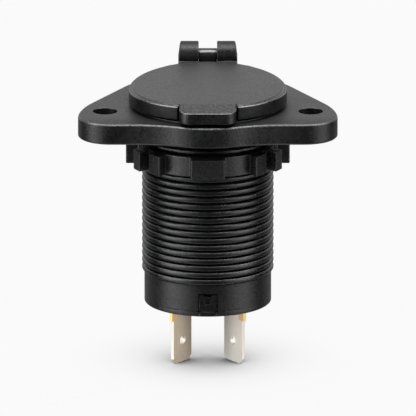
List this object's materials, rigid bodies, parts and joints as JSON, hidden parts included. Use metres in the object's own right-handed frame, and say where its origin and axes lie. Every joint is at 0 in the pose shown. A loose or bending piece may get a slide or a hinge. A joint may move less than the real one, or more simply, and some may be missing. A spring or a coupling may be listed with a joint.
{
  "type": "car 12v power socket",
  "caption": "Panel-mount 12 V socket with hinged dust lid, flange plate with screw holes, threaded barrel with ring nut and blade terminals.",
  "frame": {"origin": "barrel axis at the plate's underside, the face that lies on the panel", "axes": "+Z along the barrel's axis out of the socket's mouth, -Y to the front where the lid's thumb tab is, +Y to the hinge"},
  "size_m": [0.055, 0.0463, 0.0641],
  "materials": {
    "moulded_black": "matte black moulded plastic with a fine spark texture",
    "seal_rubber": "smooth black rubber",
    "pin_steel": "plain steel",
    "plated_steel": "nickel-plated steel",
    "insulator_brown": "pressed phenolic board",
    "contact_brass": "plain brass",
    "plated_terminal": "tin-plated brass"
  },
  "bodies": {
    "housing": {"mounting_plate": "moulded_black", "socket_body": "moulded_black", "head_gasket": "seal_rubber", "contact_sleeve": "plated_steel", "insulator_cup": "insulator_brown", "insulator_washer": "insulator_brown", "centre_contact": "contact_brass", "contact_rivet": "contact_brass", "spring_washer": "plated_steel", "negative_rivet": "contact_brass", "positive_terminal": "plated_terminal", "negative_terminal": "plated_terminal", "terminal_base": "moulded_black"},
    "lid_body": {"lid": "moulded_black", "lid_seal": "seal_rubber", "hinge_pin": "pin_steel"},
    "nut_body": {"ring_nut": "moulded_black"}
  },
  "joints": [
    {"name": "lid_hinge", "type": "hinge", "parent": "housing", "child": "lid_body", "pos_m": [0, 0.0242, 0.00892], "axis": [-1, 0, 0], "range_deg": [0, 100]},
    {"name": "nut_travel", "type": "slide", "parent": "housing", "child": "nut_body", "axis": [0, 0, 1], "range_m": [-0.024, 0.0028]}
  ]
}
